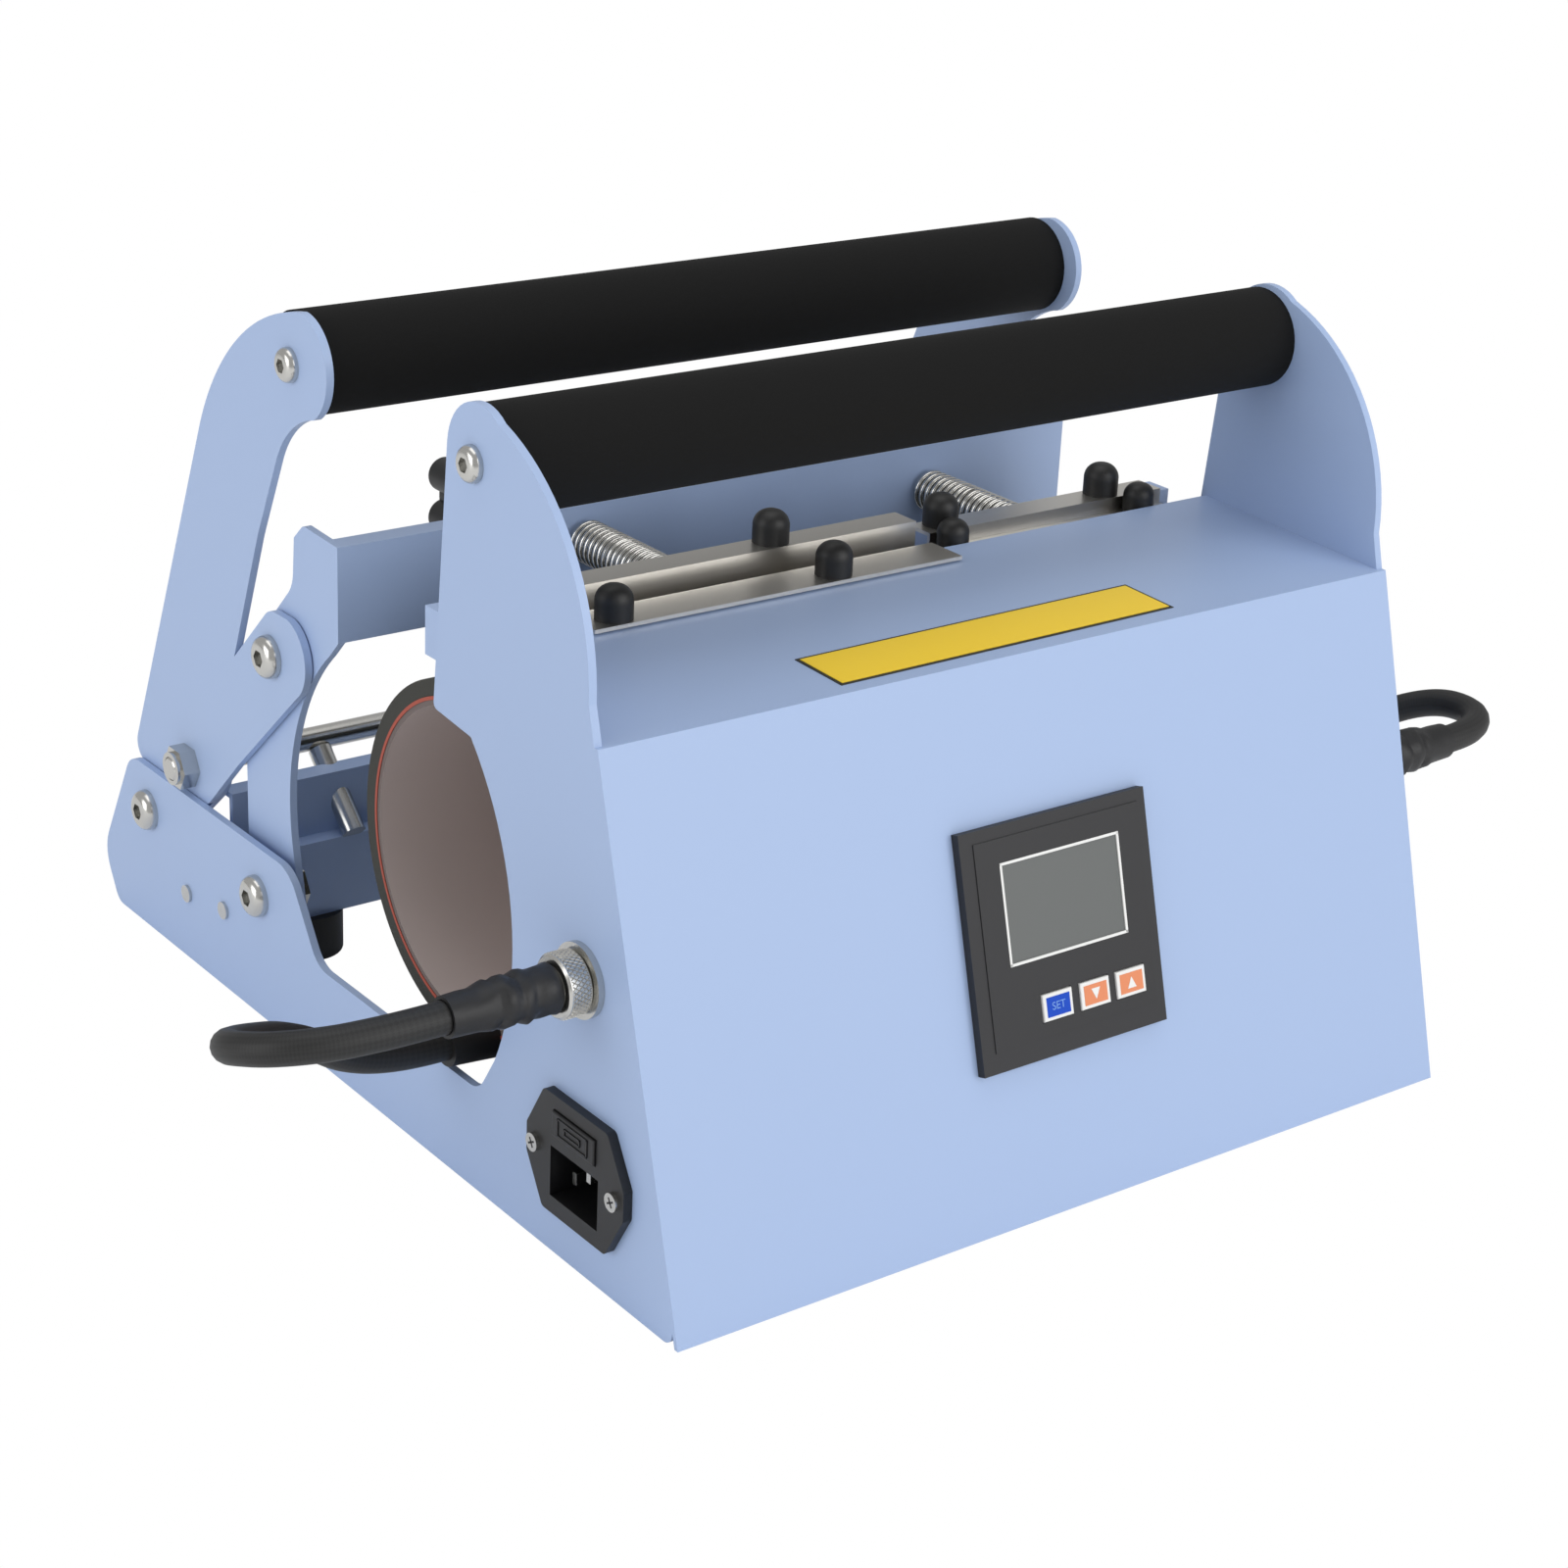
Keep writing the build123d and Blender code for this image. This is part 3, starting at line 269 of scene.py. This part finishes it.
# Display window with a white line printed round it.
# Tinted acrylic, unlit, so it shows as a flat grey.
window_u, window_v = 36.9, 26.6
window_bars = (22.7, 15.1, 46.2, 30.9, 0.8)
window_ink_height = 0.0004


def four_bars(across, up, long, tall, line):
    """Centres and sizes of the top, bottom, left and right bar of an open rectangle.

    The bars' centres are across and up from its middle, and they are long or tall and one line wide.
    """
    return [(0, up, long, line), (0, -up, long, line), (-across, 0, line, tall), (across, 0, line, tall)]


white = finish_of("white_ink", "#E8E8E6", 0.5)
for i, (x, y, w, h) in enumerate(four_bars(*window_bars)):
    place = on_panel(window_u + x, window_v - y, bezel_height)
    bar = slab(rectangle(w / 1000, h / 1000), place, window_ink_height)
    piece(f"window_line_{i}", bar, white, "frame")
screen = finish_of("grey_window", "#5F6261", 0.4)
paint(screen, "controller_window")

# Three keys under the window: white moulded caps with a printed field and a generic mark each.
# The blue field carries the word SET, and the orange ones a triangle down and a triangle up.
key_v = 57.0
key_top = bezel_height + 1.0
field_width, field_height = 0.009, 0.006
ink_thickness = 0.0001
triangle = 0.0017
set_letters = 0.0034
set_lift = 0.16


def over_key(name, lift):
    """A place over the middle of a key."""
    key_low, key_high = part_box(f"{name}_button")
    return on_panel(bezel_width / 2 + 500 * (key_low.x + key_high.x), key_v, key_top + lift)


key_blue = finish_of("key_blue", "#0045BC", 0.8)
key_orange = finish_of("key_orange", "#E0875A", 0.4)
set_ink = finish_of("set_ink", "#6F9BE0", 0.5)
paint(white, "set_button", "down_button", "up_button")
for name, mat, slot, tip in [("set", key_blue, "blue_key", None),
                             ("down", key_orange, "orange_key", -triangle),
                             ("up", key_orange, "orange_key", triangle)]:
    field = slab(rectangle(field_width, field_height), over_key(name, 0), ink_thickness)
    piece(f"{name}_field", field, mat, f"{name}_key")
    if tip:
        outline = [(-triangle, -tip), (triangle, -tip), (0.0, tip)]
        arrow = slab(outline, over_key(name, 1000 * ink_thickness), ink_thickness)
        piece(f"{name}_mark", arrow, white, f"{name}_key")
text = bpy.data.curves.new("set_mark", "FONT")
text.body = "SET"
text.size = set_letters
text.extrude = ink_thickness / 2
text.align_x = "CENTER"
text.align_y = "CENTER"
letters = bpy.data.objects.new("set_mark_text", text)
bpy.context.scene.collection.objects.link(letters)
mesh = bpy.data.meshes.new_from_object(letters)
bpy.data.objects.remove(letters)
mesh.transform(over_key("set", set_lift))
mesh.materials.clear()
mesh.materials.append(set_ink)
hang("set_mark", mesh, "set_key")

# Blank yellow plate on the shelf.
# Satin foil with a dark printed edge, stuck down slightly askew.
label_x, label_inset = -0.0005, 0.0166
label_askew = math.radians(0.8)
foil_thickness = 0.0002
yellow = finish_of("label_yellow", "#FBD534", 0.45)
dark = finish_of("label_dark", "#2A2A22", 0.5)
shelf_tilt = Matrix.Rotation(math.atan2(cover_high.z - shelf_z, cover_high.y - shelf_y), 4, "X")
label = Matrix.Translation((0.0, shelf_y, shelf_z)) @ shelf_tilt @ \
    Matrix.Translation((label_x, label_inset, 0.0)) @ Matrix.Rotation(label_askew, 4, "Z")
for name, w, h, lift, mat in [("label_back", 0.129, 0.0215, 0.00002, dark),
                              ("label_field", 0.1269, 0.0194, 0.0002, yellow)]:
    place = label @ Matrix.Translation((0, 0, lift))
    piece(name, slab(rectangle(w, h), place, foil_thickness), mat, "frame")

# Power inlet on the left side plate, with the fuse drawer above the socket.
# Moulded nylon, with plated pins, held by two zinc-plated screws. The drawer's face has a raised
# frame round a small fuse outline.
rib_height = 0.0003
raised_frame = (7.3, 2.6, 15, 5.6, 0.5)
fuse_outline = (3.8, 0.9, 8, 2.2, 0.4)
drawer_low, drawer_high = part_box("fuse_drawer")
drawer_y, drawer_z = (drawer_low.y + drawer_high.y) / 2, (drawer_low.z + drawer_high.z) / 2


def on_left_side(x, y, z):
    """A place on the left side, facing out: its own x runs to the front and its own y up."""
    return Matrix(((0, 0, -1, x), (-1, 0, 0, y), (0, 1, 0, z), (0, 0, 0, 1)))


paint(moulded, "inlet_housing", "fuse_drawer")
paint(zinc, "inlet_screws", "inlet_pins")
for i, (x, y, w, h) in enumerate(four_bars(*raised_frame) + four_bars(*fuse_outline)):
    place = on_left_side(drawer_low.x, drawer_y, drawer_z) @ Matrix.Translation((x / 1000, y / 1000, 0))
    rib = slab(rectangle(w / 1000, h / 1000), place, rib_height)
    piece(f"drawer_rib_{i}", rib, moulded, "fuse_holder")

# Cross recesses in the heads of the two inlet screws, stamped in steel.
# No hollow is cut: two thin dark bars on each head are painted shade, turned as the screws happen to sit.
inlet_low, inlet_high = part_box("inlet_housing")
inlet_y, inlet_z = (inlet_low.y + inlet_high.y) / 2, (inlet_low.z + inlet_high.z) / 2
head_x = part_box("inlet_screws")[0].x
screw_spacing = 0.040
screw_turn = 0.5
recess_length, recess_width, recess_skin = 0.0032, 0.0006, 0.00006
# Painted shade for the recesses: a dark grey finish on the flat bars.
recess_shade = finish_of("screw_recess_shade", "#3A3A3A", 0.6, 0.6)
for screw_name, dy in [("front", -screw_spacing / 2), ("rear", screw_spacing / 2)]:
    for bar_name, turn in [("a", screw_turn), ("b", screw_turn + math.pi / 2)]:
        place = on_left_side(head_x, inlet_y + dy, inlet_z) @ Matrix.Rotation(turn, 4, "Z")
        bar = slab(rectangle(recess_length, recess_width), place, recess_skin)
        piece(f"recess_{screw_name}_{bar_name}", bar, recess_shade, "frame")

# Relay that switches the heater, inside the control box.
# A moulded black case on the base pan, out of sight.
paint(moulded, "heater_relay")

# Cable connectors on both side plates: a flanged socket and a coupling ring that turns.
# Turned brass with a bright plating. Each ring has a crossed knurl, made by Geometry Nodes: a
# three-sided rod is bent to lean each way, and both are set round the ring once for each ridge.
ring_ridges = 40
ring_margin = 0.0011
ridge_lean = 0.42
ridge_half_angle = 0.03
ridge_foot_radius, ridge_crest_radius = 0.0091, 0.00955
ridge_steps = 4
rod_radius = 1 / math.sin(math.radians(60))
knurl = bpy.data.node_groups.new("ring_knurl", "GeometryNodeTree")
knurl_inputs = {}
for name, kind in [("Centre", "Vector"), ("Length", "Float"), ("Ridges", "Int"), ("Lean", "Float"),
                   ("Half Angle", "Float"), ("Foot Radius", "Float"), ("Crest Radius", "Float"),
                   ("Finish", "Material")]:
    socket = knurl.interface.new_socket(name, in_out="INPUT", socket_type=f"NodeSocket{kind}")
    knurl_inputs[name] = socket.identifier
knurl.interface.new_socket("Geometry", in_out="OUTPUT", socket_type="NodeSocketGeometry")
given = add(knurl, "NodeGroupInput").outputs
centres = add(knurl, "GeometryNodeMeshLine", {
    "Count": given["Ridges"], "Start Location": given["Centre"], "Offset": (0, 0, 0)})
number = add(knurl, "GeometryNodeInputIndex")
pitch = add(knurl, "ShaderNodeMath", {0: 2 * math.pi, 1: given["Ridges"]}, operation="DIVIDE")
turn = add(knurl, "ShaderNodeMath", {0: number.outputs["Index"], 1: pitch.outputs["Value"]},
           operation="MULTIPLY")
euler = add(knurl, "ShaderNodeCombineXYZ", {"X": turn.outputs["Value"]})
rotation = add(knurl, "FunctionNodeEulerToRotation", {"Euler": euler.outputs["Vector"]})
rod = add(knurl, "GeometryNodeMeshCylinder", {
    "Vertices": 3, "Side Segments": ridge_steps, "Radius": rod_radius, "Depth": 1.0}, fill_type="NGON")
at = add(knurl, "GeometryNodeInputPosition")
corner = add(knurl, "ShaderNodeSeparateXYZ", {"Vector": at.outputs["Position"]}).outputs
height = add(knurl, "ShaderNodeMapRange", {
    "Value": corner["X"], "From Min": -rod_radius / 2, "From Max": rod_radius,
    "To Min": given["Foot Radius"], "To Max": given["Crest Radius"]}, clamp=False)
spread = add(knurl, "ShaderNodeMath", {0: corner["Y"], 1: given["Half Angle"]}, operation="MULTIPLY")
slant = add(knurl, "ShaderNodeMath", {0: corner["Z"], 1: given["Lean"]}, operation="MULTIPLY")
along = add(knurl, "ShaderNodeMath", {0: corner["Z"], 1: given["Length"]}, operation="MULTIPLY")
flat = add(knurl, "ShaderNodeCombineXYZ", {"X": along.outputs["Value"], "Y": height.outputs["Result"]})
both = add(knurl, "GeometryNodeJoinGeometry")
for way in ("ADD", "SUBTRACT"):
    angle = add(knurl, "ShaderNodeMath", {0: spread.outputs["Value"], 1: slant.outputs["Value"]},
                operation=way)
    bent = add(knurl, "ShaderNodeVectorRotate", {
        "Vector": flat.outputs["Vector"], "Angle": angle.outputs["Value"]}, rotation_type="X_AXIS")
    ridge = add(knurl, "GeometryNodeSetPosition", {
        "Geometry": rod.outputs["Mesh"], "Position": bent.outputs["Vector"]})
    ring = add(knurl, "GeometryNodeInstanceOnPoints", {
        "Points": centres.outputs["Mesh"], "Instance": ridge.outputs["Geometry"],
        "Rotation": rotation.outputs["Rotation"]})
    fill(knurl, both, {"Geometry": ring.outputs["Instances"]})
real = add(knurl, "GeometryNodeRealizeInstances", {"Geometry": both.outputs["Geometry"]})
dressed = add(knurl, "GeometryNodeSetMaterial", {
    "Geometry": real.outputs["Geometry"], "Material": given["Finish"]})
add(knurl, "NodeGroupOutput", {"Geometry": dressed.outputs["Geometry"]})
paint(zinc, "panel_sockets", "coupling_ring_left", "coupling_ring_right")
for side in ("left", "right"):
    ring_low, ring_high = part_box(f"coupling_ring_{side}")
    host = bpy.data.objects.new(f"knurl_{side}_host", bpy.data.meshes.new("empty"))
    bpy.context.scene.collection.objects.link(host)
    modifier = host.modifiers.new("knurl", "NODES")
    modifier.node_group = knurl
    length = ring_high.x - ring_low.x - 2 * ring_margin
    for name, value in [("Centre", (ring_low + ring_high) / 2), ("Length", length), ("Ridges", ring_ridges),
                        ("Lean", ridge_lean), ("Half Angle", ridge_half_angle),
                        ("Foot Radius", ridge_foot_radius), ("Crest Radius", ridge_crest_radius),
                        ("Finish", zinc)]:
        modifier[knurl_inputs[name]] = value
    evaluated = host.evaluated_get(bpy.context.evaluated_depsgraph_get())
    mesh = bpy.data.meshes.new_from_object(evaluated)
    mesh.name = f"knurl_{side}"
    bpy.data.objects.remove(host)
    outward(mesh)
    hang(f"knurl_{side}", mesh, f"{side}_ring")

# Shrink sleeves over the two plugs.
# Heat-shrunk tubing, drawn down unevenly, so that it is lumpy with a few folds along it.
# Each is a turned skin that stands for the plain boot of the frame.
boot_low, boot_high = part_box("plug_boot_right")
plug_y, plug_z = (boot_low.y + boot_high.y) / 2, (boot_low.z + boot_high.z) / 2
sleeve_start = boot_low.x
sleeve_around = 48
sleeve_profile = [(0, 4.9), (0, 6.6), (0.8, 7.4), (3, 7.7), (6, 7.6), (7.5, 7.2), (9, 7.5), (10.5, 7.9),
                  (12, 7.4), (13, 7.1), (15, 7.9), (17.5, 7.9), (19, 7.0), (20.5, 7.3), (22.5, 7.0),
                  (25, 6.5), (29, 6.1), (33.9, 5.9), (33.9, 4.9)]
plain_ends = 3
wide_fold, fine_fold = 0.28, 0.16
fold_room = wide_fold + fine_fold


def sleeve(sign):
    """Vertices and faces of one sleeve, closed from the inside of one end to that of the other."""
    verts, faces = [], []
    for k, (x, radius) in enumerate(sleeve_profile):
        folded = plain_ends <= k < len(sleeve_profile) - plain_ends
        for i in range(sleeve_around):
            a = 2 * math.pi * i / sleeve_around
            fold = wide_fold * math.sin(2 * a + 0.9 * k) + fine_fold * math.sin(5 * a - 1.7 * k)
            r = (radius + (fold - fold_room if folded else 0.0)) / 1000
            verts.append((sign * (sleeve_start + x / 1000), plug_y + r * math.cos(a),
                          plug_z + r * math.sin(a)))
    for k in range(len(sleeve_profile)):
        n, m = k * sleeve_around, (k + 1) % len(sleeve_profile) * sleeve_around
        for i in range(sleeve_around):
            j = (i + 1) % sleeve_around
            faces.append([n + i, n + j, m + j, m + i])
    return verts, faces


shrink = finish_of("heat_shrink", "#131315", 0.5, relief=0.5, grain=3.85, depth=0.4)
sleeves = {}
for side, sign in [("left", -1), ("right", 1)]:
    sleeves[side] = piece(f"shrink_sleeve_{side}", sleeve(sign), shrink, "frame", True)
    sleeves[side].data.set_sharp_from_angle(angle=math.radians(50))
    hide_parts(f"plug_boot_{side}")

# Heater cables in a braided sleeve, from the connectors round to the ends of the band.
# Polyester yarn, woven in crossed strands about 1 mm wide, so the black shows a fine check.
# Each is one curve on the same route as its solid.
cable_diameter = 0.0095
strands_along, strands_around = 190, 26
strand_depth = 0.0002
routes = {
    "left": [(-194, -125, 92), (-218, -125, 92), (-239, -117, 91), (-245, -98, 85), (-232, -79, 75),
             (-205, -62, 62), (-178, -56, 42), (-152, -56, 42)],
    "right": [(194, -125, 92), (209, -125, 92), (223, -115, 93), (222, -96, 92), (208, -79, 82),
              (193, -66, 63), (176, -56, 42), (152, -56, 42)]}
length_steps = 24
braid = bpy.data.materials.new("braided_sleeve")
braid.use_nodes = True
tree = braid.node_tree
where = add(tree, "ShaderNodeUVMap")
mapping = add(tree, "ShaderNodeMapping", {
    "Vector": where.outputs["UV"], "Rotation": (0, 0, math.radians(45)),
    "Scale": (strands_along, strands_around, 1)})
checker = add(tree, "ShaderNodeTexChecker", {
    "Vector": mapping.outputs["Vector"], "Scale": 1.0,
    "Color1": colour("#141414"), "Color2": colour("#1D1D1D")})
bump = add(tree, "ShaderNodeBump", {
    "Height": checker.outputs["Fac"], "Strength": 0.25, "Distance": strand_depth})
fill(tree, tree.nodes["Principled BSDF"], {
    "Base Color": checker.outputs["Color"], "Roughness": 0.55, "Normal": bump.outputs["Normal"]})


def drawn_line(route):
    """Points along the curve that Blender draws for a route, in metres."""
    points = [Vector(point) / 1000 for point in route]
    line = []
    for i in range(len(points) - 2):
        before, middle, after = points[i:i + 3]
        start = before if i == 0 else (before + middle) / 2
        end = after if i == len(points) - 3 else (middle + after) / 2
        for j in range(length_steps):
            t = j / length_steps
            line.append(start * (1 - t) ** 2 + middle * 2 * t * (1 - t) + end * t ** 2)
    return line + [points[-1]]


for side, route in routes.items():
    curve = bpy.data.curves.new(f"cable_{side}", "CURVE")
    curve.dimensions = "3D"
    curve.bevel_depth = cable_diameter / 2
    curve.bevel_resolution = 6
    curve.resolution_u = 16
    curve.use_fill_caps = True
    spline = curve.splines.new("NURBS")
    spline.points.add(len(route) - 1)
    for point, (x, y, z) in zip(spline.points, route):
        point.co = (x / 1000, y / 1000, z / 1000, 1.0)
    spline.order_u = 3
    spline.use_endpoint_u = True
    curve.materials.append(braid)
    cable = hang(f"cable_{side}", curve, "frame")
    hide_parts(f"heater_cord_{side}")
    line = drawn_line(route)
    length = sum((b - a).length for a, b in zip(line, line[1:]))

# Shading of the frame's own pieces.
# Turned and moulded faces are smooth, and edges over 30 degrees stay sharp.
for obj in nodes.values():
    obj.data.polygons.foreach_set("use_smooth", [True] * len(obj.data.polygons))
    obj.data.set_sharp_from_angle(angle=math.radians(30))

# White sweep under and behind the press.
# Seen by the camera as plain white, and lit softly.
floor_reach = 8.0
floor_drop = 0.0005
floor_mat = bpy.data.materials.new("white_sweep")
floor_mat.use_nodes = True
tree = floor_mat.node_tree
card = fill(tree, tree.nodes["Principled BSDF"], {"Base Color": colour("#FFFFFF"), "Roughness": 0.9})
ray = add(tree, "ShaderNodeLightPath")
glow = add(tree, "ShaderNodeEmission", {"Strength": 1.0})
mix = add(tree, "ShaderNodeMixShader", {
    "Fac": ray.outputs["Is Camera Ray"], 1: card.outputs["BSDF"], 2: glow.outputs["Emission"]})
fill(tree, tree.nodes["Material Output"], {"Surface": mix.outputs["Shader"]})
mesh = bpy.data.meshes.new("floor")
corners = [(x, y, -floor_drop) for x, y in rectangle(2 * floor_reach, 2 * floor_reach)]
mesh.from_pydata(corners, [], [[0, 1, 2, 3]])
mesh.materials.append(floor_mat)
floor = bpy.data.objects.new("floor", mesh)
bpy.context.scene.collection.objects.link(floor)
world = bpy.data.worlds.new("studio")
bpy.context.scene.world = world
world.use_nodes = True
tree = world.node_tree
dim = fill(tree, tree.nodes["Background"], {"Color": colour("#FFFFFF"), "Strength": 0.5})
seen = add(tree, "ShaderNodeBackground", {"Color": colour("#FFFFFF"), "Strength": 1.0})
ray = add(tree, "ShaderNodeLightPath")
mix = add(tree, "ShaderNodeMixShader", {
    "Fac": ray.outputs["Is Camera Ray"], 1: dim.outputs["Background"], 2: seen.outputs["Background"]})
fill(tree, tree.nodes["World Output"], {"Surface": mix.outputs["Shader"]})

# Soft lights: a broad one in front for the sloping panel, one overhead, one at the left.
# Each is an area lamp aimed at the middle of the press.
aim = Vector((0, 0, 0.1))
for name, place, size, power in [("front", (0.6, -1.9, 0.9), 1.6, 21), ("top", (0.0, 0.1, 1.9), 1.4, 8),
                                 ("left", (-1.8, 0.1, 0.7), 1.2, 10)]:
    lamp = bpy.data.lights.new(name, "AREA")
    lamp.size = size
    lamp.energy = power
    lamp_object = bpy.data.objects.new(name, lamp)
    bpy.context.scene.collection.objects.link(lamp_object)
    lamp_object.location = place
    lamp_object.rotation_euler = (aim - Vector(place)).to_track_quat("-Z", "Y").to_euler()

# Camera where the photograph was taken from, worked out from the press's own edges.
# The three axes are the picture's right, its up and the way the camera looks.
right = (0.80014, -0.59811, 0.04495)
upward = (0.19668, 0.33244, 0.92238)
forward = (0.56664, 0.72920, -0.38364)
camera_place = (-0.5804, -0.7641, 0.4718)
picture_side = 1600
camera_data = bpy.data.cameras.new("photo_camera")
camera_data.lens = 72.03
camera_data.sensor_width = 36.0
camera = bpy.data.objects.new("photo_camera", camera_data)
bpy.context.scene.collection.objects.link(camera)
camera.matrix_world = Matrix.Translation(camera_place) @ Matrix(
    [(right[i], upward[i], -forward[i], 0.0) for i in range(3)] + [(0, 0, 0, 1)])
scene = bpy.context.scene
scene.camera = camera
scene.render.resolution_x = picture_side
scene.render.resolution_y = picture_side
scene.view_settings.view_transform = "Standard"
